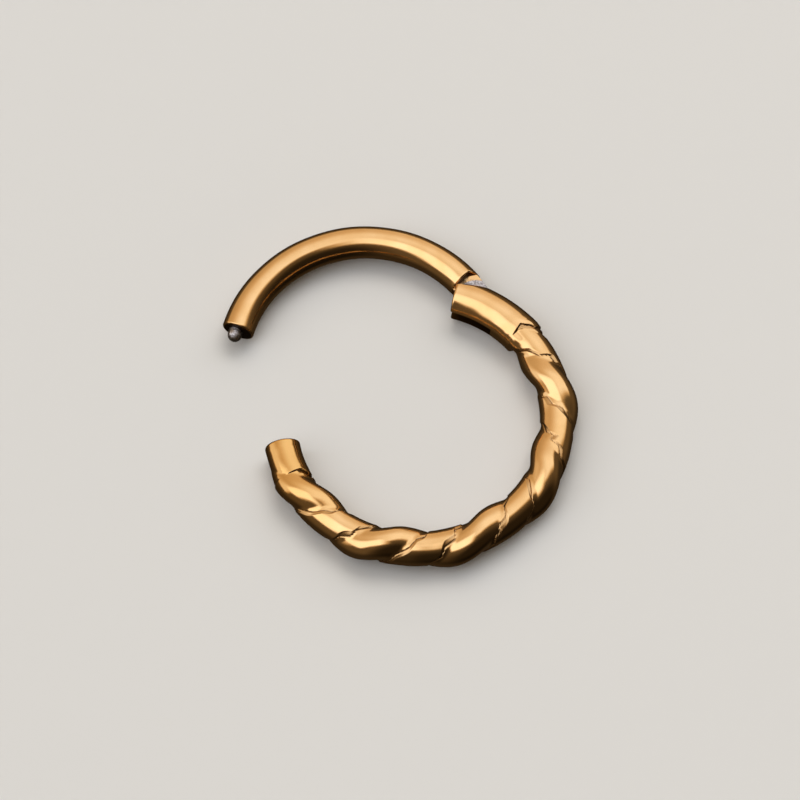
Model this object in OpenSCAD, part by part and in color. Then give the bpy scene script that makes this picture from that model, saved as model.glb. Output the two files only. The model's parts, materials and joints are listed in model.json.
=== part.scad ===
// A hinged segment ring for an ear piercing, lying open on its side.
// The ring's plane is flat, with +Z up. Angles run counter-clockwise from +X about the
// centre of the twisted arc. The gate is drawn shut and then swung open about the hinge pin.

/* [Twisted arc] */
// Radius of the arc's centre line
arc_r = 4.95; // [4.9:0.01:5]
// Angle of the arc's blunt end at the hinge
hinge_end_deg = 70.9; // [70.5:0.1:71.5]
// Angle of the arc's free end
free_end_deg = -173.2; // [-174.2:0.2:-172]
// Thickness of the plain hinge end
hinge_end_d = 1.48; // [1.44:0.02:1.52]
// Thickness of the plain free end
free_end_d = 1.28; // [1.24:0.02:1.32]
// Bevel round the free end's rim
free_end_bevel = 0.06; // [0.04:0.01:0.1]

/* [Twist] */
// Angle where the plain hinge end stops and the twist starts
twist_start_deg = 37.5; // [34:0.5:40]
// Angle where the twist stops and the plain free end starts
twist_stop_deg = -158; // [-160:0.5:-154]
// Arc that one whole turn of the twist takes
twist_pitch_deg = 39.8; // [36:0.2:44]
// Angle at which the big strand is on the outside of the ring
twist_phase_deg = 2; // [-10:0.5:10]
// Radius of the big strand
big_strand_r = 0.6; // [0.56:0.01:0.62]
// Distance of the big strand from the arc's centre line
big_strand_off = 0.18; // [0.14:0.01:0.2]
// Radius of the small strand
small_strand_r = 0.44; // [0.42:0.01:0.46]
// Distance of the small strand from the arc's centre line
small_strand_off = 0.19; // [0.16:0.01:0.2]
// Depth of the cut along each groove, below where the strands meet
groove_depth = 0.05; // [0:0.01:0.08]

/* [Gate] */
// Thickness of the gate's bar
gate_d = 1.18; // [1.14:0.02:1.22]
// Radius of the gate's centre line
gate_r = 4.715; // [4.68:0.005:4.76]
// How far the gate stands open in the pose drawn
gate_open_deg = 30; // [0:1:85]
// Gap between the shut gate and each end of the arc
gate_gap = 0.05; // [0.04:0.01:0.1]

/* [Hinge] */
// Distance of the hinge pin from the arc's centre
hinge_r = 5.117; // [5.1:0.005:5.13]
// Angle of the hinge pin
hinge_deg = 56.15; // [56:0.05:56.4]
// Thickness of the hinge pin
hinge_pin_d = 0.5; // [0.44:0.02:0.54]
// Thickness of the gate's tongue
tongue_t = 0.5; // [0.44:0.02:0.52]
// Free space on each side of the tongue, and round the pin in it
running_gap = 0.03; // [0.02:0.01:0.05]
// Radius of the tongue's nose round the pin
tongue_nose_r = 0.5; // [0.46:0.02:0.52]
// Distance from the arc's centre at which the cheeks' cut-back corner starts
cheek_corner_r = 5.25; // [5.15:0.01:5.27]
// Angle at which that corner has run out to the surface
cheek_corner_deg = 58.5; // [57.5:0.5:60]

/* [Click pin] */
// Thickness of the ball-nosed pin in the gate's tip
click_pin_d = 0.52; // [0.44:0.02:0.54]
// How far the pin sits from the middle of the tip, towards the outside of the ring
click_pin_off = 0.06; // [0:0.02:0.08]
// How far the pin stands out of the tip
click_pin_out = 0.42; // [0.3:0.02:0.44]
// Width of the socket in the arc's free end
socket_d = 0.72; // [0.66:0.02:0.76]
// Depth of that socket
socket_depth = 0.52; // [0.48:0.02:0.56]

/* [Hidden] */
gold = "goldenrod";
steel = "silver";
round_fn = 64;

// Centre of the twisted arc in the part's frame, whose origin is under the middle of the open ring
arc_centre = [0.534, -1.052, 0.78];

// Sections of the twist: points round each strand, and degrees of arc from one to the next
big_strand_steps = 18;
small_strand_steps = 10;
section_step_deg = 1.7;
// The big strand swells out of the plain hinge end over the first of these arcs,
// and runs out over the outside of the plain free end along the second
hinge_fade_deg = 5;
free_fade_deg = 9;
free_fade_h = 0.11;
// How far the strands are sunk in the plain ends, and how deep they reach into them
sunk = 0.02;
rooted_deg = 1.5;

fixed_gap = 0.01;         // round a pin that is held fast
pin_wall = 0.1;           // of metal over each blind end of the hinge pin
click_pin_root = 0.9;     // length of the click pin that the gate hides
slot_floor_gap = 0.07;    // between the tongue's nose and the slot's floor
slot_floor_dir = 54;      // direction of the slot's floor, square to the bar
tongue_back_dir = 40;     // slope of the tongue's inner corner, back from the nose
tongue_inset = 0.02;      // of the tongue's edges, in from the bar's surface
tongue_root_deg = 1;      // how far the tongue reaches into the gate's bar
gate_tip_in = 0.02;       // of the gate's tip, in from the arc's centre line
bar_out = 1;              // from a centre line to well outside its bar
bevel_run = 2;            // of the free end's bevel cone, past the whole plain end
bore_over = 0.2;          // of a bore, out past the face that it is cut in
over_deg = 10;            // of a bar, past the plane that cuts it off
sector_step_deg = 60;     // between the corners of a sector's outline
far = 20;                 // past everything

function polar(r, a) = [r * cos(a), r * sin(a)];
function at_angle(r, a, z = 0) = [r * cos(a), r * sin(a), z];
function turned(p, a) = [p.x * cos(a) - p.y * sin(a), p.x * sin(a) + p.y * cos(a)];

// Gate, shut: its circle passes through both of its ends
gap_deg = gate_gap / arc_r * 180 / PI;
gate_start_deg = hinge_end_deg + gap_deg;
gate_tip_deg = 360 + free_end_deg - gap_deg;
gate_start = polar(arc_r, gate_start_deg);
gate_tip = polar(arc_r - gate_tip_in, gate_tip_deg);
gate_chord = gate_tip - gate_start;
gate_rise = sqrt(gate_r * gate_r - pow(norm(gate_chord) / 2, 2));
gate_centre = (gate_start + gate_tip) / 2 - gate_rise * turned(gate_chord, -90) / norm(gate_chord);
gate_tip_rel = gate_tip - gate_centre;
gate_tip_dir = atan2(gate_tip_rel.y, gate_tip_rel.x);
click_pin_at = gate_tip + polar(click_pin_off, gate_tip_dir);

// Hinge
hinge_at = polar(hinge_r, hinge_deg);
hinge_rel = hinge_at - gate_centre;
hinge_gate_deg = atan2(hinge_rel.y, hinge_rel.x);
slot_t = tongue_t + 2 * running_gap;
hinge_bore_top = sqrt(pow(hinge_end_d / 2, 2) - pow(hinge_r - arc_r + hinge_pin_d / 2, 2)) - pin_wall;
tongue_half_w = sqrt(pow(gate_d / 2, 2) - pow(tongue_t / 2, 2)) - tongue_inset;

// Twist: the strands meet at this angle from the middle of the big one
strand_gap = big_strand_off + small_strand_off;
meet = (pow(strand_gap, 2) + pow(big_strand_r, 2) - pow(small_strand_r, 2)) / (2 * strand_gap);
groove_at = [big_strand_off - meet, sqrt(big_strand_r * big_strand_r - meet * meet)];
groove_deg = atan2(groove_at.y, groove_at.x);
groove_reach = norm(groove_at) - groove_depth;

// How far a round strand reaches from the centre line, at angle a from its own middle
function reach(a, off, r) = off * cos(a) + sqrt(r * r - pow(off * sin(a), 2));

// One section of the twist as [angle from the big strand's middle, reach]
section = concat(
    [[-groove_deg, groove_reach]],
    [for (i = [1 : big_strand_steps - 1])
        let (a = -groove_deg + i * 2 * groove_deg / big_strand_steps)
        [a, reach(a, big_strand_off, big_strand_r)]],
    [[groove_deg, groove_reach]],
    [for (i = [1 : small_strand_steps - 1])
        let (a = groove_deg + i * (360 - 2 * groove_deg) / small_strand_steps)
        [a, reach(a - 180, small_strand_off, small_strand_r)]]
);

// The most that a section may reach near the plain ends, where the big strand fades into them
full_reach = big_strand_off + big_strand_r;
hinge_reach = hinge_end_d / 2 - sunk;
free_reach = free_end_d / 2 - sunk;
function ramp(x) = min(max(x, 0), 1);
function most_reach(phi) = min(
    hinge_reach + (full_reach - hinge_reach) * ramp((twist_start_deg - phi) / hinge_fade_deg),
    free_reach + free_fade_h * ramp((phi - twist_stop_deg + free_fade_deg) / free_fade_deg)
        + full_reach * ramp((phi - twist_stop_deg) / free_fade_deg));

// Both strands as one solid, swept along the arc through turned sections
module twist() {
    first = twist_stop_deg - free_fade_deg;
    last = twist_start_deg + rooted_deg;
    rings = ceil((last - first) / section_step_deg);
    n = len(section);
    points = [for (i = [0 : rings], s = section)
        let (phi = first + i * (last - first) / rings,
             psi = s[0] + (phi - twist_phase_deg) * 360 / twist_pitch_deg,
             r = min(s[1], most_reach(phi)))
        at_angle(arc_r + r * cos(psi), phi, r * sin(psi))];
    sides = [for (i = [0 : rings - 1], j = [0 : n - 1])
        let (a = i * n + j, b = i * n + (j + 1) % n)
        each [[a, b, a + n], [b, b + n, a + n]]];
    ends = [[for (j = [n - 1 : -1 : 0]) j], [for (j = [0 : n - 1]) rings * n + j]];
    polyhedron(points, concat(sides, ends), convexity = 10);
}

// Round bar bent to an arc between two angles
module bar(r, d, from, to) {
    rotate([0, 0, from]) rotate_extrude(angle = to - from, $fn = 4 * round_fn)
        translate([r, 0]) circle(d = d, $fn = round_fn);
}

// Sector of a disc, from one angle to another, as a flat shape
module sector(from, to) {
    steps = ceil((to - from) / sector_step_deg);
    polygon(concat([[0, 0]], [for (i = [0 : steps]) polar(far, from + i * (to - from) / steps)]));
}

// Stands a shape whose axis is +Z on a point of an arc, looking along the arc
module along(p, radial_deg, forward) {
    translate([p.x, p.y, 0]) rotate([0, 0, radial_deg]) rotate([forward ? -90 : 90, 0, 0]) children();
}

// Outline of the tongue: the gate's own bar carried on, with a round nose about the hinge pin
module tongue_outline() {
    back = hinge_at + polar(tongue_nose_r, hinge_gate_deg - 90 - tongue_back_dir);
    intersection() {
        translate(gate_centre) difference() {
            circle(r = gate_r + tongue_half_w, $fn = 4 * round_fn);
            circle(r = gate_r - tongue_half_w, $fn = 4 * round_fn);
        }
        polygon([
            hinge_at,
            back,
            back + polar(2 * bar_out, hinge_gate_deg + 180 - tongue_back_dir),
            polar(arc_r - bar_out, gate_start_deg + tongue_root_deg),
            polar(arc_r + bar_out, gate_start_deg + tongue_root_deg),
            hinge_at + polar(bar_out, hinge_gate_deg)]);
    }
    translate(hinge_at) circle(r = tongue_nose_r, $fn = round_fn);
}

// Swings the gate and what it carries from shut to the pose drawn
module swung_open() {
    translate(hinge_at) rotate([0, 0, -gate_open_deg]) translate(-hinge_at) children();
}

// Plain hinge end, slotted into two cheeks whose outer corners are cut back for the gate
module hinge_end() {
    floor_side = hinge_at + polar(tongue_nose_r + slot_floor_gap, slot_floor_dir - 90);
    corner = polar(cheek_corner_r, hinge_end_deg);
    runout = polar(arc_r + hinge_end_d / 2, cheek_corner_deg);
    difference() {
        bar(arc_r, hinge_end_d, twist_start_deg, hinge_end_deg);
        linear_extrude(slot_t, center = true) polygon([
            floor_side + polar(far, slot_floor_dir),
            floor_side + polar(far, slot_floor_dir + 90),
            floor_side - polar(far, slot_floor_dir)]);
        linear_extrude(2 * hinge_end_d, center = true) polygon([
            corner, runout, runout + (runout - corner), polar(far, cheek_corner_deg),
            polar(far, hinge_end_deg + over_deg), corner - (runout - corner)]);
        translate(hinge_at) cylinder(
            d = hinge_pin_d + 2 * fixed_gap, h = 2 * hinge_bore_top, center = true, $fn = round_fn);
    }
}

// Plain free end with a bevelled rim and a blind socket for the click pin
module free_end() {
    end_at = polar(arc_r, free_end_deg);
    rim_r = free_end_d / 2 - free_end_bevel;
    difference() {
        intersection() {
            bar(arc_r, free_end_d, free_end_deg - over_deg, twist_stop_deg);
            along(end_at, free_end_deg, true) rotate_extrude($fn = round_fn)
                polygon([[0, 0], [rim_r, 0], [rim_r + bevel_run, bevel_run], [0, bevel_run]]);
        }
        along(polar(arc_r + click_pin_off, free_end_deg), free_end_deg, true) translate([0, 0, -bore_over])
            cylinder(d = socket_d, h = socket_depth + bore_over, $fn = round_fn);
    }
}

// The ring's long arc
module twisted_arc() {
    color(gold) translate(arc_centre) {
        hinge_end();
        twist();
        free_end();
    }
}

// The bar that goes through the ear, with its tongue
module gate_arc() {
    color(gold) translate(arc_centre) swung_open() difference() {
        union() {
            intersection() {
                translate(gate_centre) bar(gate_r, gate_d, hinge_gate_deg, gate_tip_dir + 360 + over_deg);
                linear_extrude(2 * gate_d, center = true) sector(gate_start_deg, gate_tip_deg);
            }
            linear_extrude(tongue_t, center = true) tongue_outline();
        }
        translate(hinge_at)
            cylinder(d = hinge_pin_d + 2 * running_gap, h = 2 * gate_d, center = true, $fn = round_fn);
        along(click_pin_at, gate_tip_dir, false) translate([0, 0, -bore_over])
            cylinder(d = click_pin_d + 2 * fixed_gap, h = click_pin_root + bore_over, $fn = round_fn);
    }
}

// Plain pin, hidden in both cheeks
module hinge_pin() {
    color(steel) translate(arc_centre) translate(hinge_at)
        cylinder(d = hinge_pin_d, h = 2 * (hinge_bore_top - fixed_gap), center = true, $fn = round_fn);
}

// Ball-nosed pin in the gate's tip
module click_pin() {
    straight = click_pin_out - click_pin_d / 2;
    color(steel) translate(arc_centre) swung_open() along(click_pin_at, gate_tip_dir, true) {
        translate([0, 0, -click_pin_root + fixed_gap])
            cylinder(d = click_pin_d, h = click_pin_root - fixed_gap + straight, $fn = round_fn);
        translate([0, 0, straight]) sphere(d = click_pin_d, $fn = round_fn);
    }
}

twisted_arc();
gate_arc();
hinge_pin();
click_pin();
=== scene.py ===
import json
import math
import bmesh
import bpy
import numpy as np
from mathutils import Matrix, Vector


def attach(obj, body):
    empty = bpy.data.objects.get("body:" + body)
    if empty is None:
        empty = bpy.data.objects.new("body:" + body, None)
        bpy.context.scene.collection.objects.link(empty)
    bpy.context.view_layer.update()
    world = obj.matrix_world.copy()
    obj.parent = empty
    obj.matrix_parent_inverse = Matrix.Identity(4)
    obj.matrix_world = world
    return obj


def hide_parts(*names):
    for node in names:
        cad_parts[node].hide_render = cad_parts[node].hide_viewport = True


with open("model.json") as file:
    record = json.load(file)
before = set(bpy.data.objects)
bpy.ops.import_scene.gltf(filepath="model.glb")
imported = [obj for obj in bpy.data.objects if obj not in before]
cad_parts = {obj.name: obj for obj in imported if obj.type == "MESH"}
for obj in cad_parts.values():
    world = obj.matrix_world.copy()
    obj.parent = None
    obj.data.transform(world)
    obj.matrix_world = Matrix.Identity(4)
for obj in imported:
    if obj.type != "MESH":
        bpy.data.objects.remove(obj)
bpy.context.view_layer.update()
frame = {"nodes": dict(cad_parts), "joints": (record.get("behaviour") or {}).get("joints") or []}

# A hinged segment ring lying open on a table. Shapes are worked out in millimetres about the
# centre of the twisted arc, with angles in degrees from +X, then put into the frame in metres.
# In a section of a bar, angle 0 points away from the ring's centre and 90 points up.

mm = 0.001
deg = math.pi / 180
rng = np.random.default_rng(11)
scene = bpy.context.scene


def polar(radius, angle):
    return np.array([radius * math.cos(angle * deg), radius * math.sin(angle * deg)])


def direction(angle):
    return polar(1, angle)


def angleOf(vector):
    return math.degrees(math.atan2(vector[1], vector[0]))


def smoothStep(low, high, value):
    t = np.clip((value - low) / (high - low), 0, 1)
    return t * t * (3 - 2 * t)


def softMin(a, b, softness):
    h = np.clip(0.5 + 0.5 * (b - a) / softness, 0, 1)
    return b * (1 - h) + a * h - softness * h * (1 - h)


def softMax(a, b, softness):
    return -softMin(-a, -b, softness)


def midway(t):
    # 1 halfway down a step, 0 above and below it
    return 4 * t * (1 - t)


# the hinge joint fixes where everything is
joint = next(j for j in frame["joints"] if j["name"] == "gate_hinge")
hingeInFrame = np.array(joint["pos_m"]) / mm

hinge = {"pinRadius": 5.117, "pinAngle": 56.15, "pinThick": 0.5, "openAngle": 30}
hingeAt = polar(hinge["pinRadius"], hinge["pinAngle"])
arcCentre = hingeInFrame - np.append(hingeAt, 0)


def toFrame(points):
    return (np.asarray(points, float) + arcCentre) * mm


def swungOpen(points):
    # from the shut ring to the pose drawn
    c = math.cos(-hinge["openAngle"] * deg)
    s = math.sin(-hinge["openAngle"] * deg)
    out = np.array(points, float)
    x, y = out[..., 0] - hingeAt[0], out[..., 1] - hingeAt[1]
    out[..., 0] = hingeAt[0] + c * x - s * y
    out[..., 1] = hingeAt[1] + s * x + c * y
    return out


def gridMesh(name, rings, closedLong=False):
    # closed tube from rings of points (station, column, xyz); open ends are fanned to their middle point
    stations, columns = rings.shape[:2]
    points = rings.reshape(-1, 3)
    i = np.arange(stations if closedLong else stations - 1)[:, None] * columns
    j = np.arange(columns)[None, :]
    k = (j + 1) % columns
    n = stations * columns
    faces = (np.stack([i + j, i + k, i + columns + k, i + columns + j], -1).reshape(-1, 4) % n).tolist()
    if not closedLong:
        points = np.vstack([points, rings[0].mean(0), rings[-1].mean(0)])
        last = n - columns
        for a in range(columns):
            b = (a + 1) % columns
            faces.append((n, b, a))
            faces.append((n + 1, last + a, last + b))
    mesh = bpy.data.meshes.new(name)
    mesh.from_pydata(toFrame(points).tolist(), [], faces)
    mesh.update()
    return mesh


def facedOut(mesh):
    bm = bmesh.new()
    bm.from_mesh(mesh)
    bmesh.ops.recalc_face_normals(bm, faces=bm.faces)
    bm.to_mesh(mesh)
    bm.free()


def smoothed(mesh, creaseAngle=35):
    mesh.shade_smooth()
    mesh.set_sharp_from_angle(angle=creaseAngle * deg)


def withGrooves(mesh, values):
    # how much painted shade and dullness each point gets: none on a polished face (0), most at the bottom of
    # a groove (1)
    attribute = mesh.attributes.new("groove", "FLOAT", "POINT")
    attribute.data.foreach_set("value", np.ravel(values).astype(np.float32))
    return mesh


def addPiece(name, mesh, material):
    piece = bpy.data.objects.new(name, mesh)
    scene.collection.objects.link(piece)
    facedOut(mesh)
    smoothed(mesh)
    mesh.materials.append(material)
    return piece


def recoat(piece, faces, material):
    # give some of a piece's faces another material
    piece.data.materials.append(material)
    slotNumber = len(piece.data.materials) - 1
    for face in faces:
        piece.data.polygons[face].material_index = slotNumber


def combine(piece, other, operation):
    # the other piece is used up; faces that it leaves keep its material
    modifier = piece.modifiers.new("combine", "BOOLEAN")
    modifier.operation = operation
    modifier.solver = "MANIFOLD"
    modifier.material_mode = "TRANSFER"
    modifier.object = other
    bpy.context.view_layer.update()
    mesh = bpy.data.meshes.new_from_object(piece.evaluated_get(bpy.context.evaluated_depsgraph_get()))
    piece.modifiers.clear()
    piece.data = mesh
    smoothed(mesh)
    bpy.data.objects.remove(other)


def hexColour(code):
    # sRGB hex to linear
    channels = [int(code[i:i + 2], 16) / 255 for i in (1, 3, 5)]
    return [c / 12.92 if c <= 0.04045 else ((c + 0.055) / 1.055) ** 2.4 for c in channels] + [1]


def newMaterial(name):
    material = bpy.data.materials.new(name)
    material.use_nodes = True
    material.node_tree.nodes.clear()
    return material


def addNode(tree, kind, settings={}, inputs={}):
    # an input is a value, or another node's output that is linked to it
    node = tree.nodes.new(kind)
    for key, value in settings.items():
        setattr(node, key, value)
    for key, value in inputs.items():
        if isinstance(value, bpy.types.NodeSocket):
            tree.links.new(value, node.inputs[key])
        else:
            node.inputs[key].default_value = value
    return node


# the mix node gives numbers and colours sockets of the same names, so they go by their places
mixFactor, numberA, numberB, colourA, colourB = 0, 2, 3, 6, 7
mixedColour = 2


def perMetre(size):
    # texture scale at which one pattern cell is this many millimetres
    return 1 / (size * mm)


noiseLow, noiseHigh = 0.3, 0.7   # what a noise texture's values lie between

goldSteel = {
    "colour": "#F6C78C", "mottleColour": "#F0BD7E", "grooveShadeColour": "#7A5430",
    "freeEndShadeColour": "#E9B36C", "freeEndShadeUpTo": 1.2, "freeEndShadeFades": 4.2,
    "leastRoughness": 0.1, "mostRoughness": 0.18, "lineRoughness": 0.38,
    "mottle": 0.8, "grain": 0.05, "grainHeight": 0.0006,
}


def makeGoldSteel():
    # surgical steel, tumble polished and then coated with gold-coloured nitride in vacuum:
    # a warm mirror with a faint bloom, painted darker and deeper in colour towards the arc's free end as
    # painted shade, browner down in the grooves as painted shade and duller there; the polish's grain is
    # drawn coarser than it is, so that it shows
    material = newMaterial("goldCoatedSteel")
    tree = material.node_tree
    place = addNode(tree, "ShaderNodeTexCoord").outputs["Object"]
    mottle = addNode(tree, "ShaderNodeTexNoise", inputs={
        "Vector": place, "Scale": perMetre(goldSteel["mottle"]), "Detail": 3, "Roughness": 0.55})
    grain = addNode(tree, "ShaderNodeTexNoise", inputs={
        "Vector": place, "Scale": perMetre(goldSteel["grain"]), "Detail": 2, "Roughness": 0.6})
    groove = addNode(tree, "ShaderNodeAttribute", {"attribute_name": "groove"}).outputs["Fac"]
    clouds = addNode(tree, "ShaderNodeMapRange", inputs={
        "Value": mottle.outputs["Fac"], "From Min": noiseLow, "From Max": noiseHigh})
    coat = addNode(tree, "ShaderNodeMix", {"data_type": "RGBA"}, {
        mixFactor: clouds.outputs[0], colourA: hexColour(goldSteel["colour"]),
        colourB: hexColour(goldSteel["mottleColour"])})
    # painted shade: darker, deeper colour near the arc's free end, where less light falls
    fromEnd = addNode(tree, "ShaderNodeVectorMath", {"operation": "DISTANCE"}, {
        0: place, 1: toFrame(np.append(polar(arc["radius"], arc["freeEnd"]), 0))})
    thick = addNode(tree, "ShaderNodeMapRange", {"interpolation_type": "SMOOTHSTEP"}, {
        "Value": fromEnd.outputs["Value"], "From Min": goldSteel["freeEndShadeUpTo"] * mm,
        "From Max": goldSteel["freeEndShadeFades"] * mm, "To Min": 1, "To Max": 0})
    deep = addNode(tree, "ShaderNodeMix", {"data_type": "RGBA"}, {
        mixFactor: thick.outputs[0], colourA: coat.outputs[mixedColour],
        colourB: hexColour(goldSteel["freeEndShadeColour"])})
    # painted shade: the grooves, step walls, ledges and the free end's notch are painted brown
    colour = addNode(tree, "ShaderNodeMix", {"data_type": "RGBA"}, {
        mixFactor: groove, colourA: deep.outputs[mixedColour], colourB: hexColour(goldSteel["grooveShadeColour"])})
    dull = addNode(tree, "ShaderNodeMapRange", inputs={
        "Value": mottle.outputs["Fac"], "From Min": noiseLow, "From Max": noiseHigh,
        "To Min": goldSteel["leastRoughness"], "To Max": goldSteel["mostRoughness"]})
    rough = addNode(tree, "ShaderNodeMix", {"data_type": "FLOAT"}, {
        mixFactor: groove, numberA: dull.outputs[0], numberB: goldSteel["lineRoughness"]})
    bump = addNode(tree, "ShaderNodeBump", inputs={
        "Height": grain.outputs["Fac"], "Strength": 1, "Distance": goldSteel["grainHeight"] * mm})
    shader = addNode(tree, "ShaderNodeBsdfPrincipled", inputs={
        "Base Color": colour.outputs[mixedColour], "Metallic": 1, "Roughness": rough.outputs[0],
        "Normal": bump.outputs[0]})
    addNode(tree, "ShaderNodeOutputMaterial", inputs={"Surface": shader.outputs[0]})
    return material


shadedMilledSteel = {"colour": "#38240F", "roughness": 0.46, "cutterMark": 0.06, "markHeight": 0.001}


def makeShadedMilledSteel():
    # the coated steel where it was milled or bored and never polished: rougher, with the cutter's marks
    # scattering the light, and its colour painted a dark brown as painted shade, so slots, bores and blunt
    # ends look dark
    material = newMaterial("milledSteelWithPaintedShade")
    tree = material.node_tree
    place = addNode(tree, "ShaderNodeTexCoord").outputs["Object"]
    marks = addNode(tree, "ShaderNodeTexNoise", inputs={
        "Vector": place, "Scale": perMetre(shadedMilledSteel["cutterMark"]), "Detail": 2})
    bump = addNode(tree, "ShaderNodeBump", inputs={
        "Height": marks.outputs["Fac"], "Strength": 1, "Distance": shadedMilledSteel["markHeight"] * mm})
    shader = addNode(tree, "ShaderNodeBsdfPrincipled", inputs={
        "Base Color": hexColour(shadedMilledSteel["colour"]), "Metallic": 1,
        "Roughness": shadedMilledSteel["roughness"], "Normal": bump.outputs[0]})
    addNode(tree, "ShaderNodeOutputMaterial", inputs={"Surface": shader.outputs[0]})
    return material


bareSteel = {"colour": "#D6CECD", "fleckColour": "#968E8D", "flecksFrom": 0.4, "flecksTo": 0.6,
             "leastRoughness": 0.27, "mostRoughness": 0.41, "grain": 0.08, "grainHeight": 0.02}
groundPatch = {"fromPin": 0.533, "direction": 185.4, "radius": 0.745, "edge": 0.03, "ragged": 0.06}


def makeBareSteel(name, partCoated=False):
    # the same surgical steel left uncoated, turned or ground: cool grey, with marks that catch the light
    # in flecks, drawn coarser than they are so that they show;
    # on the tongue the gold coat is ground off in a round patch by the pin and left beyond it
    material = newMaterial(name)
    tree = material.node_tree
    place = addNode(tree, "ShaderNodeTexCoord").outputs["Object"]
    grain = addNode(tree, "ShaderNodeTexNoise", inputs={
        "Vector": place, "Scale": perMetre(bareSteel["grain"]), "Detail": 3, "Roughness": 0.6})
    rough = addNode(tree, "ShaderNodeMapRange", inputs={
        "Value": grain.outputs["Fac"], "From Min": noiseLow, "From Max": noiseHigh,
        "To Min": bareSteel["leastRoughness"], "To Max": bareSteel["mostRoughness"]})
    bump = addNode(tree, "ShaderNodeBump", inputs={
        "Height": grain.outputs["Fac"], "Strength": 1, "Distance": bareSteel["grainHeight"] * mm})
    flecks = addNode(tree, "ShaderNodeMapRange", inputs={
        "Value": grain.outputs["Fac"], "From Min": bareSteel["flecksFrom"],
        "From Max": bareSteel["flecksTo"]})
    steel = addNode(tree, "ShaderNodeMix", {"data_type": "RGBA"}, {
        mixFactor: flecks.outputs[0], colourA: hexColour(bareSteel["fleckColour"]),
        colourB: hexColour(bareSteel["colour"])})
    colour = steel.outputs[mixedColour]
    if partCoated:
        middle = swungOpen(np.append(hingeAt + polar(groundPatch["fromPin"], groundPatch["direction"]), 0))
        flat = addNode(tree, "ShaderNodeVectorMath", {"operation": "MULTIPLY"}, {0: place, 1: (1, 1, 0)})
        away = addNode(tree, "ShaderNodeVectorMath", {"operation": "DISTANCE"}, {
            0: flat.outputs[0], 1: toFrame(middle) * (1, 1, 0)})
        ragged = addNode(tree, "ShaderNodeMapRange", inputs={
            "Value": grain.outputs["Fac"], "To Min": -groundPatch["ragged"] * mm / 2,
            "To Max": groundPatch["ragged"] * mm / 2})
        edge = addNode(tree, "ShaderNodeMath", {"operation": "ADD"}, {
            0: away.outputs["Value"], 1: ragged.outputs[0]})
        coated = addNode(tree, "ShaderNodeMapRange", inputs={
            "Value": edge.outputs[0], "From Min": groundPatch["radius"] * mm,
            "From Max": (groundPatch["radius"] + groundPatch["edge"]) * mm})
        patched = addNode(tree, "ShaderNodeMix", {"data_type": "RGBA"}, {
            mixFactor: coated.outputs[0], colourA: colour, colourB: hexColour(goldSteel["colour"])})
        colour = patched.outputs[mixedColour]
    shader = addNode(tree, "ShaderNodeBsdfPrincipled", inputs={
        "Base Color": colour, "Metallic": 1, "Roughness": rough.outputs[0], "Normal": bump.outputs[0]})
    addNode(tree, "ShaderNodeOutputMaterial", inputs={"Surface": shader.outputs[0]})
    return material


# lengths are in millimetres. Places and lengths along the arc are in degrees of the arc, and so are the
# jogs' lengths and the waves; widths of grooves, ledges and jogs are in degrees round the section.
arc = {
    "radius": 4.95, "hingeEnd": 70.9, "freeEnd": -173.2, "hingeEndThick": 1.48, "freeEndThick": 1.28,
    "rimRounding": 0.09,
    "cornerRadius": 5.25, "cornerRunOut": 58.5, "cornerReach": 12, "cornerSoftness": 0.03,
    "endStation": 0.12, "stepStation": 0.14, "twistStation": 0.5, "plainStation": 1.0, "denseFor": 2.2,
    "bigColumns": 52, "grooveColumns": 34, "smallColumns": 20, "denseBefore": 3, "denseAfter": 6,
}
twist = {
    "start": 37.5, "stop": -158, "pitch": 39.8, "phase": 2, "runOnHinge": 4.5, "runOnFree": 12,
    "bigRadius": 0.6, "bigOffset": 0.18, "smallReach": 0.622, "blend": 0.03, "margin": 0.02,
    "grooveAngle": 107, "grooveLean": 8, "grooveReach": 0.582, "lineDepth": 0.024, "lineWidth": 5,
    "ledgeWidth": 11, "ledgeLeast": 1, "ledgeWaves": (25, 10), "ledgeRise": 4, "ledgeDrop": 0.014,
    "ledgeEdge": 3.2, "ledgeShadeAndDull": 0.3, "wallShadeAndDull": 0.75, "shadeAndDullEdge": 1,
    "jogLength": 6, "jogWidth": 16, "jogScatter": 0.3, "jogRun": (0.6, 0.85), "jogLeast": 0.2,
    "unevenness": 0.004, "unevenWaves": (60, 25), "ripple": 0.002, "rippleWaves": (14, 7), "inset": 0.006,
}
hingeStep = {
    # where the plain end stops: angle round the section, then angle along the arc
    "edge": [(-90, 37.3), (20, 35.2), (53, 35.2), (57, 36.7), (70, 38), (82, 39.8), (100, 39.2), (119, 38.6),
             (160, 37.7), (270, 37.3)],
    "taper": 0.2, "taperDepth": 0.02, "drop": 0.076, "ledge": 0.16, "ledgeFall": 0.09, "ledgeBlend": 0.01,
    "ledgeNarrowsFrom": 80, "ledgeUpTo": 108, "stepUpTo": 128, "swell": 5, "blend": 0.02,
    "filled": 0.6, "filledRise": 6, "fillLong": 8, "fillShort": 1, "fillUpTo": 150, "fillEnds": 175,
}
freeStep = {"edge": -157.4, "innerEdge": -154.8, "innerFrom": 120, "innerTo": 150, "swell": 9,
            "swellHeight": 0.11, "swellBlend": 0.05, "blend": 0.02,
            "notch": 0.07, "notchWide": 0.16, "notchFrom": 100, "notchTo": 140}
socket = {"thick": 0.72, "depth": 0.52, "offset": 0.06, "rim": 0.03}
arcMm = arc["radius"] * deg   # millimetres of arc in one degree
crisp = 0.05                  # millimetres over which a step falls

goldMaterial = makeGoldSteel()
shadedMilledMaterial = makeShadedMilledSteel()
steelMaterial = makeBareSteel("bareSurgicalSteel")
tongueMaterial = makeBareSteel("partCoatedSteel", partCoated=True)
print("materials made")


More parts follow.
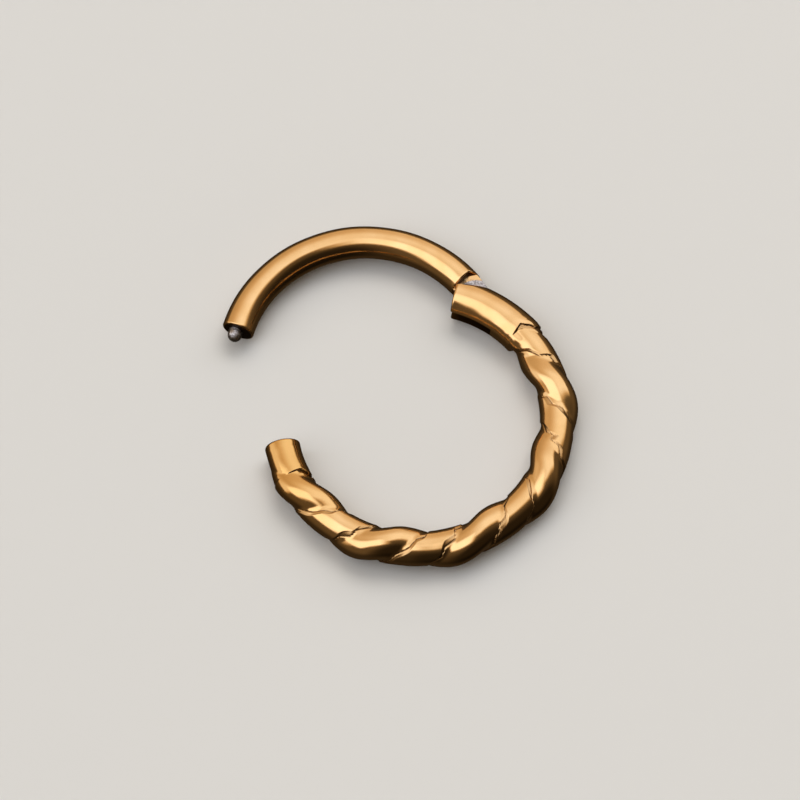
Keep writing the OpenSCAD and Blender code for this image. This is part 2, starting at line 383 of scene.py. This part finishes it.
def stationAngles():
    # close together at the ends and at the two steps
    near = arc["denseFor"]
    marks = [(arc["freeEnd"], arc["endStation"]), (arc["freeEnd"] + near, arc["plainStation"]),
             (freeStep["edge"] - near, arc["stepStation"]),
             (freeStep["innerEdge"] + near, arc["twistStation"]),
             (twist["start"] - 2 * near, arc["stepStation"]), (twist["start"] + near, arc["plainStation"]),
             (arc["hingeEnd"] - near, arc["endStation"]), (arc["hingeEnd"], 0)]
    runs = []
    for (low, step), (high, _) in zip(marks[:-1], marks[1:]):
        runs.append(np.linspace(low, high, max(2, round((high - low) / step)), endpoint=False))
    return np.append(np.concatenate(runs), arc["hingeEnd"])


def columnAngles():
    # round the section from the big strand's middle, close together across the grooves
    wander = twist["grooveLean"] + twist["jogWidth"]
    low = twist["grooveAngle"] - wander - arc["denseBefore"]
    high = twist["grooveAngle"] + wander + twist["ledgeWidth"] + arc["denseAfter"]
    runs = [(-low, low, arc["bigColumns"]), (low, high, arc["grooveColumns"]),
            (high, 360 - high, arc["smallColumns"]), (360 - high, 360 - low, arc["grooveColumns"])]
    return np.concatenate([np.linspace(a, b, n, endpoint=False) for a, b, n in runs])


def stairs(phi, spacing, amount):
    # runs that drift one way and then step back, as a groove cut by hand across the twist does
    starts = np.arange(arc["freeEnd"] - 2 * spacing, arc["hingeEnd"] + 2 * spacing, spacing)
    starts = starts + rng.uniform(-twist["jogScatter"], twist["jogScatter"], len(starts)) * spacing
    ends = starts[:-1] + np.diff(starts) * rng.uniform(*twist["jogRun"], len(starts) - 1)
    knots = np.ravel(np.column_stack([starts[:-1], ends]))
    first = rng.uniform(-1, -twist["jogLeast"], len(ends)) * amount
    last = rng.uniform(twist["jogLeast"], 1, len(ends)) * amount
    return np.interp(phi, knots, np.ravel(np.column_stack([first, last])))


def offsetCircle(angle, offset, radius):
    return offset * np.cos(angle * deg) + np.sqrt(radius ** 2 - (offset * np.sin(angle * deg)) ** 2)


def strands(phi, psi, fromBig):
    # the big strand, then the groove line, a ledge and the small strand's edge on either side
    big = offsetCircle(fromBig, twist["bigOffset"], twist["bigRadius"])
    low = twist["grooveReach"]
    ledgeTop = twist["smallReach"] - twist["ledgeDrop"]
    reach = softMax(big, low + 0 * big, twist["blend"]) + 0 * phi
    line = 0 * reach
    for side in (-1, 1):
        groove = twist["grooveAngle"] - twist["grooveLean"] * np.cos(psi * deg)
        groove = groove - side * stairs(phi, twist["jogLength"], twist["jogWidth"])
        ledgeWide = twist["ledgeWidth"] + uneven(phi, 0, twist["ledgeWidth"] / 2, *twist["ledgeWaves"])
        ledgeWide = np.maximum(ledgeWide, twist["ledgeLeast"])
        into = side * fromBig - groove
        ledge = low + (ledgeTop - low) * smoothStep(0, 1, into / (ledgeWide + twist["ledgeRise"]))
        edge = smoothStep(0, twist["ledgeEdge"], into - ledgeWide)
        small = ledge + (twist["smallReach"] - ledge) * edge
        mine = side * fromBig > 0
        reach = np.where(mine & (into > 0), small, reach)
        # line carries painted shade and dullness down in the groove, on the step's wall and along the ledge
        dip = 1 - smoothStep(0, twist["lineWidth"] / 2, np.abs(into))
        wall = twist["wallShadeAndDull"] * midway(edge)
        onLedge = twist["ledgeShadeAndDull"] * (1 - edge) * smoothStep(-twist["shadeAndDullEdge"], twist["shadeAndDullEdge"], into)
        line = np.where(mine, np.maximum(np.maximum(dip, wall), onLedge), line)
        reach = np.where(mine, reach - twist["lineDepth"] * dip, reach)
    return reach, line


def uneven(phi, around, amount, longest, shortest, waves=6, mostAround=3):
    # slow hills left by hand finishing, as waves along the arc and round it; lengths in degrees
    height = 0
    for _ in range(waves):
        along = 360 / rng.uniform(shortest, longest)
        height = height + amount / math.sqrt(waves) * np.cos(
            (along * phi + rng.integers(-mostAround, mostAround + 1) * around + rng.uniform(0, 360)) * deg)
    return height


def arcSurface():
    phi = stationAngles()[:, None]
    column = columnAngles()[None, :]
    turning = np.clip(phi, twist["stop"] - twist["runOnFree"], twist["start"] + twist["runOnHinge"])
    psi = column + (turning - twist["phase"]) * 360 / twist["pitch"]
    upright = (psi + 90) % 360 - 90
    fromBig = (column + 180) % 360 - 180
    reach, line = strands(phi, psi, fromBig)
    hingeReach, freeReach = arc["hingeEndThick"] / 2, arc["freeEndThick"] / 2
    full = twist["bigRadius"] + twist["bigOffset"]
    margin = twist["margin"]

    # the big strand swells out of one plain end and runs out over the other
    grown = smoothStep(0, hingeStep["swell"], twist["start"] - phi)
    reach = softMin(reach, hingeReach - margin + (full - hingeReach + 2 * margin) * grown, twist["blend"])
    least = hingeStep["filled"] * smoothStep(-hingeStep["filledRise"], 0, phi - twist["start"])
    reach = softMax(reach, least + 0 * reach, hingeStep["blend"])
    since = phi - twist["stop"] + freeStep["swell"]
    most = freeReach - margin + freeStep["swellHeight"] * smoothStep(0, freeStep["swell"], since) \
        + full * np.clip(since / freeStep["swell"] - 1, 0, 1)
    reach = softMin(reach, most, freeStep["swellBlend"])

    # plain hinge end: a sharp edge, a short ledge and then the strands; lower down on the inner side
    # the edge dies out into the small strand
    edge = np.interp(upright, *zip(*hingeStep["edge"]))
    past = (edge - phi) * arcMm
    stepped = 1 - smoothStep(hingeStep["ledgeUpTo"], hingeStep["stepUpTo"], upright)
    filled = (1 - stepped) * (1 - smoothStep(hingeStep["fillUpTo"], hingeStep["fillEnds"], upright))
    filled = filled * smoothStep(-hingeStep["fillLong"], -hingeStep["fillShort"], phi - edge)
    reach = np.maximum(reach, reach + (hingeReach - reach) * filled)
    plain = hingeReach - hingeStep["taperDepth"] * smoothStep(-hingeStep["taper"], 0, past) * stepped
    lower = softMax(reach, plain - hingeStep["drop"] * stepped, hingeStep["ledgeBlend"])
    fallen = smoothStep(0, crisp, past)
    ledgeWide = hingeStep["ledge"] * (
        1 - smoothStep(hingeStep["ledgeNarrowsFrom"], hingeStep["ledgeUpTo"], upright))
    free = smoothStep(0, hingeStep["ledgeFall"], past - ledgeWide)
    twisted = lower * (1 - free) + reach * free
    reach = plain * (1 - fallen) + twisted * fallen
    # painted shade and dullness on the step's wall and along its ledge
    line = np.maximum(line * fallen, midway(fallen) * stepped)
    line = np.maximum(line, twist["ledgeShadeAndDull"] * fallen * (1 - free) * stepped)

    # plain free end: as thick as its bar wherever the big strand isn't thicker
    onInside = smoothStep(freeStep["innerFrom"], freeStep["innerTo"], upright)
    edge = freeStep["edge"] + (freeStep["innerEdge"] - freeStep["edge"]) * onInside
    past = (edge - phi) * arcMm
    plainAgain = smoothStep(0, crisp, past)
    bar = softMax(reach, freeReach + 0 * reach, freeStep["blend"])
    reach = reach * (1 - plainAgain) + bar * plainAgain
    inner = smoothStep(freeStep["notchFrom"], freeStep["notchTo"], upright)
    notch = inner * (1 - smoothStep(0, freeStep["notchWide"] / 2, np.abs(past + freeStep["notchWide"] / 2)))
    reach = reach - freeStep["notch"] * notch
    # painted shade and dullness in the notch
    line = np.maximum(line * (1 - plainAgain), notch)

    reach = reach - twist["inset"] + uneven(phi, psi, twist["unevenness"], *twist["unevenWaves"])
    reach = reach + uneven(phi, psi, twist["ripple"], *twist["rippleWaves"])
    reach = cutBack(reach, phi, psi)
    k = arc["rimRounding"]
    for end in (arc["hingeEnd"], arc["freeEnd"]):
        inside = np.clip(k - np.abs(phi - end) * arcMm, 0, k)
        reach = reach - (k - np.sqrt(k * k - inside ** 2))
    rad = arc["radius"] + reach * np.cos(psi * deg)
    points = np.stack([rad * np.cos(phi * deg), rad * np.sin(phi * deg), reach * np.sin(psi * deg)], -1)
    return points, line, psi


def cutBackPlane():
    # the hinge end's outer corner is cut off along this line, to let the gate swing
    corner = polar(arc["cornerRadius"], arc["hingeEnd"])
    runOut = polar(arc["radius"] + arc["hingeEndThick"] / 2, arc["cornerRunOut"])
    along = (runOut - corner) / np.linalg.norm(runOut - corner)
    return corner, np.array([-along[1], along[0]])


def cutBack(reach, phi, psi, leastCosine=0.05, farAway=9):
    corner, outward = cutBackPlane()
    planeAt = (outward @ corner) / (outward[0] * np.cos(phi * deg) + outward[1] * np.sin(phi * deg))
    outer = (np.cos(psi * deg) > leastCosine) & (phi > arc["cornerRunOut"] - arc["cornerReach"])
    toPlane = (planeAt - arc["radius"]) / np.maximum(np.cos(psi * deg), leastCosine)
    return softMin(reach, np.where(outer, toPlane, farAway), arc["cornerSoftness"])


def sunkRing(angle, psi, centreOffset, radius, depth):
    # points round the bar's end face, sunk into the bar by depth
    rad = arc["radius"] + centreOffset + radius * np.cos(psi * deg)
    into = direction(angle + 90) * depth
    return np.stack([rad * math.cos(angle * deg) + into[0], rad * math.sin(angle * deg) + into[1],
                     radius * np.sin(psi * deg)], -1)


def makeTwistedArc():
    points, line, psi = arcSurface()
    # the drilled socket, from its cone out to the broken rim
    bore, deep, rim = socket["thick"] / 2, socket["depth"], socket["rim"]
    face = [sunkRing(arc["freeEnd"], psi[0], socket["offset"], r, d) for r, d in
            ((bore / 3, deep + bore / 3), (bore - rim, deep), (bore, deep - rim), (bore, deep / 2),
             (bore, rim), (bore + rim, 0))]
    mesh = gridMesh("twistedArc", np.concatenate([np.stack(face), points]))
    columns = line.shape[1]
    grooves = np.concatenate([np.zeros(len(face) * columns), line.ravel(), [0, 0]])
    piece = addPiece("twisted_ring", withGrooves(mesh, grooves), goldMaterial)
    fans = range(len(mesh.polygons) - 2 * columns, len(mesh.polygons))   # socket's bottom and hinge end
    # the socket and the hinge end's face get the dark milled steel: painted shade
    recoat(piece, [*range((len(face) - 1) * columns), *fans], shadedMilledMaterial)
    return piece


slotCut = {"height": 0.56, "floorDirection": 54, "floorFromPin": 0.57, "reach": 4}


def makeSlotCutter():
    # upright block whose front is the slot's slanted floor
    floorAt = hingeAt + polar(slotCut["floorFromPin"], slotCut["floorDirection"] - 90)
    along = direction(slotCut["floorDirection"]) * slotCut["reach"]
    across = direction(slotCut["floorDirection"] + 90) * slotCut["reach"]
    outline = [floorAt + along, floorAt + along + across, floorAt - along + across, floorAt - along]
    half = slotCut["height"] / 2
    points = [(x, y, z) for z in (-half, half) for x, y in outline]
    faces = [(3, 2, 1, 0), (4, 5, 6, 7), (0, 1, 5, 4), (1, 2, 6, 5), (2, 3, 7, 6), (3, 0, 4, 7)]
    mesh = bpy.data.meshes.new("slotCutter")
    mesh.from_pydata(toFrame(points).tolist(), [], faces)
    return addPiece("slotCutter", mesh, shadedMilledMaterial)


ringPiece = makeTwistedArc()
# the slot's faces keep the cutter's dark milled steel: painted shade
combine(ringPiece, makeSlotCutter(), "DIFFERENCE")
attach(ringPiece, "ring")
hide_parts("twisted_arc")
print("twisted arc made,", len(ringPiece.data.polygons), "faces")

gate = {"radius": 4.715, "thick": 1.18, "gap": 0.05, "tipInset": 0.02, "rimRounding": 0.06,
        "rimRings": (0, 0.07, 0.2, 0.4, 0.63, 1, 1.7, 2.7), "bodyFrom": 4,   # in parts of the rim's rounding
        "columns": 96, "stations": 240, "unevenness": 0.003, "unevenWaves": (60, 20),
        "noseFrom": 5.04, "nose": 0.34}
clickPin = {"thick": 0.52, "offset": 0.06, "out": 0.42, "root": 0.9, "rootTaper": 0.98, "rootChamfer": 0.02,
            "shankRings": (-0.3, 0, 0.096), "noseStep": 6, "boreGap": 0.01, "boreRim": 0.02, "boreDepth": 0.2}
gapAngle = gate["gap"] / arcMm
gateStartAngle = arc["hingeEnd"] + gapAngle
gateTipAngle = 360 + arc["freeEnd"] - gapAngle
gateStart = polar(arc["radius"], gateStartAngle)
gateTip = polar(arc["radius"] - gate["tipInset"], gateTipAngle)
chord = gateTip - gateStart
rise = math.sqrt(gate["radius"] ** 2 - (np.linalg.norm(chord) / 2) ** 2)
gateCentre = (gateStart + gateTip) / 2 - rise * np.array([chord[1], -chord[0]]) / np.linalg.norm(chord)
startDirection = angleOf(gateStart - gateCentre)
tipDirection = angleOf(gateTip - gateCentre) % 360
hingeFromGate = angleOf(hingeAt - gateCentre)


def endOnPlane(radius, planeAngle, guess, rounds=20):
    # angle about the gate's centre where a circle of this radius meets a plane through the arc's centre
    normal = direction(planeAngle + 90)
    gamma = np.full(np.shape(radius), float(guess))
    for _ in range(rounds):
        x = gateCentre[0] + radius * np.cos(gamma * deg)
        y = gateCentre[1] + radius * np.sin(gamma * deg)
        gamma = gamma - (x * normal[0] + y * normal[1]) / (radius * deg)
    return gamma


def makeGateBar():
    psi = np.arange(gate["columns"]) * 360 / gate["columns"]
    k = gate["rimRounding"]
    length = (tipDirection - startDirection) * gate["radius"] * deg
    rim = k * np.array(gate["rimRings"])
    low = gate["bodyFrom"] * k
    at = np.concatenate([rim, np.linspace(low, length - low, gate["stations"]), length - rim[::-1]])
    inside = np.clip(k - np.minimum(at, length - at), 0, k)
    reach = (gate["thick"] / 2 - (k - np.sqrt(k * k - inside ** 2)))[:, None] + 0 * psi[None, :]
    reach = reach - 2 * gate["unevenness"] + uneven(
        at[:, None] / (gate["radius"] * deg), psi[None, :], gate["unevenness"], *gate["unevenWaves"])
    radius = gate["radius"] + reach * np.cos(psi * deg)
    # its blunt end has a nose at the outside that lies over the ring's cut back corner
    outermost = gate["radius"] + gate["thick"] / 2
    nose = gate["nose"] * np.clip((radius - gate["noseFrom"]) / (outermost - gate["noseFrom"]), 0, 1)
    low = endOnPlane(radius, gateStartAngle, startDirection) - nose / (radius * deg)
    high = endOnPlane(radius, gateTipAngle, tipDirection)
    gamma = low + (high - low) * (at / length)[:, None]
    body = np.stack([gateCentre[0] + radius * np.cos(gamma * deg),
                     gateCentre[1] + radius * np.sin(gamma * deg), reach * np.sin(psi * deg)], -1)
    # blind bore in the tip for the click pin, its rim broken
    bore = clickPin["thick"] / 2 + clickPin["boreGap"]
    tangent, normal = direction(tipDirection - 90), direction(gateTipAngle + 90)
    face = []
    for r, d in ((bore + clickPin["boreRim"], 0), (bore, clickPin["boreRim"]), (bore, clickPin["boreDepth"])):
        rad = gate["radius"] + clickPin["offset"] + r * np.cos(psi * deg)
        x = gateCentre[0] + rad * math.cos(tipDirection * deg)
        y = gateCentre[1] + rad * math.sin(tipDirection * deg)
        slip = d - (x * normal[0] + y * normal[1]) / (tangent @ normal)
        face.append(np.stack([x + tangent[0] * slip, y + tangent[1] * slip, r * np.sin(psi * deg)], -1))
    mesh = gridMesh("gateBar", swungOpen(np.concatenate([body, np.stack(face)])))
    piece = addPiece("gate_bar", withGrooves(mesh, np.zeros(len(mesh.vertices))), goldMaterial)
    # the tip's bore and both blunt end faces get the dark milled steel: painted shade
    recoat(piece, range((len(body) - 1) * gate["columns"], len(mesh.polygons)), shadedMilledMaterial)
    return piece


tongue = {"thick": 0.5, "noseRadius": 0.5, "boreGap": 0.03, "backSlope": 40, "inset": 0.02, "rootAngle": 1,
          "beyond": 1, "edge": 0.025, "edgeBevel": 0.3, "steps": 240, "coatEdge": 0.95, "coatDirection": 22}


def insideTongue(points):
    # the bar's own band, cut to the wedge between the pin and the shoulder
    halfWidth = math.sqrt((gate["thick"] / 2) ** 2 - (tongue["thick"] / 2) ** 2) - tongue["inset"]
    fromCentre = np.hypot(points[..., 0] - gateCentre[0], points[..., 1] - gateCentre[1])
    band = np.abs(fromCentre - gate["radius"]) <= halfWidth
    back = hingeAt + polar(tongue["noseRadius"], hingeFromGate - 90 - tongue["backSlope"])
    root = gateStartAngle + tongue["rootAngle"]
    beyond = tongue["beyond"]
    wedge = [hingeAt, back, back + polar(2 * beyond, hingeFromGate + 180 - tongue["backSlope"]),
             polar(arc["radius"] - beyond, root), polar(arc["radius"] + beyond, root),
             hingeAt + polar(beyond, hingeFromGate)]
    within = np.zeros(points.shape[:-1], bool)
    for a, b in zip(wedge, wedge[1:] + wedge[:1]):
        crosses = (a[1] > points[..., 1]) != (b[1] > points[..., 1])
        at = (b[0] - a[0]) * (points[..., 1] - a[1]) / (b[1] - a[1]) + a[0]
        within ^= crosses & (points[..., 0] < at)
    return band & within


def tongueReach(angles, longest=2.2, samples=700):
    # how far the tongue reaches from the pin in each direction
    reach = np.linspace(tongue["noseRadius"], longest, samples)
    rays = np.stack([np.cos(angles * deg), np.sin(angles * deg)], -1)
    inside = insideTongue(hingeAt + reach[None, :, None] * rays[:, None, :])
    inside[:, 0] = True
    last = np.minimum.accumulate(inside, axis=1).sum(1) - 1
    return reach[last]


def makeTongueMesh():
    angles = np.arange(tongue["steps"]) * 360 / tongue["steps"]
    outer = tongueReach(angles)
    inner = hinge["pinThick"] / 2 + tongue["boreGap"] + 0 * angles
    half, edge = tongue["thick"] / 2, tongue["edge"]
    bevel = tongue["edgeBevel"] * edge
    profile = [(outer - edge, -half), (outer - bevel, -half + bevel), (outer, -half + edge),
               (outer, half - edge), (outer - bevel, half - bevel), (outer - edge, half),
               (inner + edge, half), (inner, half - edge), (inner, -half + edge), (inner + edge, -half)]
    rings = [np.stack([hingeAt[0] + r * np.cos(angles * deg), hingeAt[1] + r * np.sin(angles * deg),
                       z + 0 * angles], -1) for r, z in profile]
    return gridMesh("tongue", swungOpen(np.stack(rings)), closedLong=True)


def partOfTongue(mesh, name, coated):
    # one side of a plane across the tongue: its root is joined to the bar and wholly coated
    normalAngle = tongue["coatDirection"] + 90
    at = swungOpen(np.append(hingeAt + polar(tongue["coatEdge"], normalAngle), 0))
    normal = direction(normalAngle - hinge["openAngle"])
    bm = bmesh.new()
    bm.from_mesh(mesh)
    bmesh.ops.recalc_face_normals(bm, faces=bm.faces)
    bmesh.ops.bisect_plane(
        bm, geom=bm.verts[:] + bm.edges[:] + bm.faces[:], plane_co=Vector(toFrame(at)),
        plane_no=Vector((normal[0], normal[1], 0)), clear_inner=coated, clear_outer=not coated, dist=1e-9)
    bmesh.ops.holes_fill(bm, edges=[e for e in bm.edges if e.is_boundary])
    half = bpy.data.meshes.new(name)
    bm.to_mesh(half)
    bm.free()
    return half


gatePiece = makeGateBar()
tongueMesh = makeTongueMesh()
combine(gatePiece, addPiece("shoulder", partOfTongue(tongueMesh, "shoulder", True), goldMaterial), "UNION")
tonguePiece = addPiece("gate_tongue", partOfTongue(tongueMesh, "gateTongue", False), tongueMaterial)
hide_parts("gate_arc")
for piece, slotName in ((gatePiece, "gold_steel"), (tonguePiece, "bare_steel")):
    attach(piece, "gate")
print("gate made,", len(gatePiece.data.polygons) + len(tonguePiece.data.polygons), "faces")


def makeClickPin(steps=64):
    # turned pin with a ball nose, lathed about its own axis in the tip
    radius = clickPin["thick"] / 2
    straight = clickPin["out"] - radius
    profile = [(radius * clickPin["rootTaper"], -clickPin["root"]),
               (radius, -clickPin["root"] + clickPin["rootChamfer"])]
    profile += [(radius, height) for height in (*clickPin["shankRings"], straight)]
    profile += [(radius * math.cos(t * deg), straight + radius * math.sin(t * deg))
                for t in range(clickPin["noseStep"], 90, clickPin["noseStep"])]
    around = np.arange(steps) * 360 / steps * deg
    tangent = direction(tipDirection + 90)
    outward = direction(tipDirection)
    base = gateCentre + polar(gate["radius"] + clickPin["offset"], tipDirection)
    rings = []
    for r, h in profile:
        x = base[0] + tangent[0] * h + outward[0] * r * np.cos(around)
        y = base[1] + tangent[1] * h + outward[1] * r * np.cos(around)
        rings.append(np.stack([x, y, r * np.sin(around)], -1))
    return addPiece("click_ball", gridMesh("clickPin", swungOpen(np.stack(rings))), steelMaterial)


pinPiece = makeClickPin()
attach(pinPiece, "gate")
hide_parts("click_pin")

hingePin = frame["nodes"]["hinge_pin"]
hingePin.data.materials.clear()
hingePin.data.materials.append(steelMaterial)
hingePin.data.shade_smooth()
print("pins made")

floor = {"colour": "#DEDCD8", "roughness": 0.85, "gloss": 0.2, "radius": 600, "flat": 380, "rise": 260,
         "middle": 20, "bendStep": 6}


def makeFloor(steps=96):
    # pale sweep: a flat table that curves up into a wall all round
    bend = floor["radius"] - floor["flat"]
    profile = [(floor["middle"], 0), (floor["flat"], 0)]
    profile += [(floor["flat"] + bend * math.sin(t * deg), bend * (1 - math.cos(t * deg)))
                for t in range(floor["bendStep"], 91, floor["bendStep"])]
    profile.append((floor["radius"], floor["rise"]))
    around = np.arange(steps) * 2 * math.pi / steps
    points = [(r * math.cos(t) * mm, r * math.sin(t) * mm, z * mm) for r, z in profile for t in around]
    faces = [tuple(range(steps))]
    for i in range(len(profile) - 1):
        for j in range(steps):
            k = (j + 1) % steps
            faces.append((i * steps + j, (i + 1) * steps + j, (i + 1) * steps + k, i * steps + k))
    mesh = bpy.data.meshes.new("floor")
    mesh.from_pydata(points, [], faces)
    mesh.shade_smooth()
    # matt painted board: no gloss, so the ring alone shines
    material = newMaterial("mattBoard")
    tree = material.node_tree
    shader = addNode(tree, "ShaderNodeBsdfPrincipled", inputs={
        "Base Color": hexColour(floor["colour"]), "Roughness": floor["roughness"],
        "Specular IOR Level": floor["gloss"]})
    addNode(tree, "ShaderNodeOutputMaterial", inputs={"Surface": shader.outputs[0]})
    mesh.materials.append(material)
    piece = bpy.data.objects.new("floor", mesh)
    scene.collection.objects.link(piece)
    piece.visible_glossy = False


makeFloor()

tent = {
    "dimColour": "#FFE6BE", "brightColour": "#F2F7FF", "dim": 0.5, "bright": 1.3,
    "clothLeft": 0.6, "clothRight": 1.25, "left": -0.9, "right": 0.4, "backFrom": 0.5, "backFade": 0.35,
    "frontRight": (-0.6, 1, 0), "frontCut": (-0.55, -0.15), "leftCut": (-0.4, -0.1),
    "lowRight": (-0.6, 0, 1), "lowRightCut": (-0.3, -0.05), "lowCut": (-0.12, 0.06),
    "sideGlow": 0.5, "glowFrom": (-0.9, -0.6), "glowBack": (0.15, 0.6),
    "lamp": 1.65, "lampLow": (0.33, 0.48), "lampFront": (-0.66, -0.42), "lampBack": (0, 0.5),
    "lampRight": (-0.2, 0.35), "spill": 0.115, "spillCut": (-1.0, -0.45), "spillLow": (-0.6, 0),
    "spillBelow": 0.3, "elsewhere": 0.02,
}


def makeTent():
    # a white cloth tent with a lamp over its left front. It is open to the camera, and dark there and
    # below the table. Directions are +X right, +Y back and +Z up.
    world = bpy.data.worlds.new("lightTent")
    scene.world = world
    world.use_nodes = True
    tree = world.node_tree
    tree.nodes.clear()
    place = addNode(tree, "ShaderNodeTexCoord").outputs["Generated"]
    axes = addNode(tree, "ShaderNodeSeparateXYZ", inputs={0: place})

    def eased(value, low, high, fromValue=0.0, toValue=1.0):
        node = addNode(tree, "ShaderNodeMapRange", {"interpolation_type": "SMOOTHSTEP"}, {
            "Value": value, "From Min": low, "From Max": high, "To Min": fromValue, "To Max": toValue})
        return node.outputs[0]

    def maths(operation, a, b):
        return addNode(tree, "ShaderNodeMath", {"operation": operation}, {0: a, 1: b}).outputs[0]

    def along(vector):
        return addNode(tree, "ShaderNodeVectorMath", {"operation": "DOT_PRODUCT"}, {
            0: place, 1: vector}).outputs["Value"]

    # the cloth: dimmer at the left but for a glow at its side, fading to the back, cut off along the
    # front and at the table
    level = eased(axes.outputs["X"], tent["left"], tent["right"], tent["clothLeft"], tent["clothRight"])
    level = maths("MULTIPLY", level, eased(axes.outputs["Y"], tent["backFrom"], 1, 1, 1 - tent["backFade"]))
    sideGlow = maths("MULTIPLY", eased(axes.outputs["X"], *tent["glowFrom"], tent["sideGlow"], 0),
                     eased(axes.outputs["Y"], *tent["glowBack"], 1, 0))
    level = maths("ADD", level, sideGlow)
    fromFront = along(tent["frontRight"])
    for where, cut in ((fromFront, "frontCut"), (along(tent["lowRight"]), "lowRightCut"),
                       (axes.outputs["Y"], "leftCut"), (axes.outputs["Z"], "lowCut")):
        level = maths("MULTIPLY", level, eased(where, *tent[cut]))

    # the lamp on its left half
    lamp = eased(axes.outputs["Z"], *tent["lampLow"], 0, tent["lamp"])
    lamp = maths("MULTIPLY", lamp, eased(axes.outputs["Y"], *tent["lampFront"]))
    for axis, cut in (("Y", "lampBack"), ("X", "lampRight")):
        lamp = maths("MULTIPLY", lamp, eased(axes.outputs[axis], *tent[cut], 1, 0))

    # what spills past the cloth's edges
    spill = eased(fromFront, *tent["spillCut"], tent["elsewhere"], tent["spill"])
    spill = maths("MULTIPLY", spill, eased(axes.outputs["Z"], *tent["spillLow"], tent["spillBelow"], 1))
    total = maths("MAXIMUM", maths("MAXIMUM", level, lamp), spill)
    colour = addNode(tree, "ShaderNodeMix", {"data_type": "RGBA"}, {
        mixFactor: eased(total, tent["dim"], tent["bright"]), colourA: hexColour(tent["dimColour"]),
        colourB: hexColour(tent["brightColour"])})
    background = addNode(tree, "ShaderNodeBackground", inputs={
        "Color": colour.outputs[mixedColour], "Strength": total})
    addNode(tree, "ShaderNodeOutputWorld", inputs={"Surface": background.outputs[0]})


softbox = {"azimuth": 20, "elevation": 62, "distance": 420, "width": 300, "height": 200, "power": 0.5,
           "colour": "#FFFAF2"}


def addSoftbox():
    # gives the table its soft shadow; azimuth 0 is straight behind the ring, 90 to the right
    data = bpy.data.lights.new("softbox", "AREA")
    data.shape = "RECTANGLE"
    data.size = softbox["width"] * mm
    data.size_y = softbox["height"] * mm
    data.energy = softbox["power"]
    data.color = hexColour(softbox["colour"])[:3]
    light = bpy.data.objects.new("softbox", data)
    scene.collection.objects.link(light)
    azimuth, elevation = softbox["azimuth"] * deg, softbox["elevation"] * deg
    flat = math.cos(elevation)
    toLight = Vector((math.sin(azimuth) * flat, math.cos(azimuth) * flat, math.sin(elevation)))
    light.location = toLight * softbox["distance"] * mm
    light.rotation_mode = "QUATERNION"
    light.rotation_quaternion = (-light.location).to_track_quat("-Z", "Y")
    light.visible_glossy = False


makeTent()
addSoftbox()
print("light set")

camera = {"elevation": 66.42, "roll": -3.99, "distance": 250, "lens": 315, "sensor": 36,
          "aimAcross": -0.661, "aimUp": 0.736, "nearest": 10, "farthest": 5000}


def makeCamera():
    e, roll = camera["elevation"] * deg, camera["roll"] * deg
    right, up = Vector((1, 0, 0)), Vector((0, math.sin(e), math.cos(e)))
    back = Vector((0, -math.cos(e), math.sin(e)))
    across = right * math.cos(roll) + up * math.sin(roll)
    upward = up * math.cos(roll) - right * math.sin(roll)
    aim = Vector(arcCentre) + across * camera["aimAcross"] + upward * camera["aimUp"]
    data = bpy.data.cameras.new("camera")
    data.lens = camera["lens"]
    data.sensor_width = camera["sensor"]
    data.clip_start = camera["nearest"] * mm
    data.clip_end = camera["farthest"] * mm
    piece = bpy.data.objects.new("camera", data)
    scene.collection.objects.link(piece)
    turn = Matrix((across, upward, back)).transposed()
    piece.matrix_world = Matrix.Translation((aim + back * camera["distance"]) * mm) @ turn.to_4x4()
    scene.camera = piece


makeCamera()
scene.view_settings.view_transform = "Standard"
scene.view_settings.look = "None"
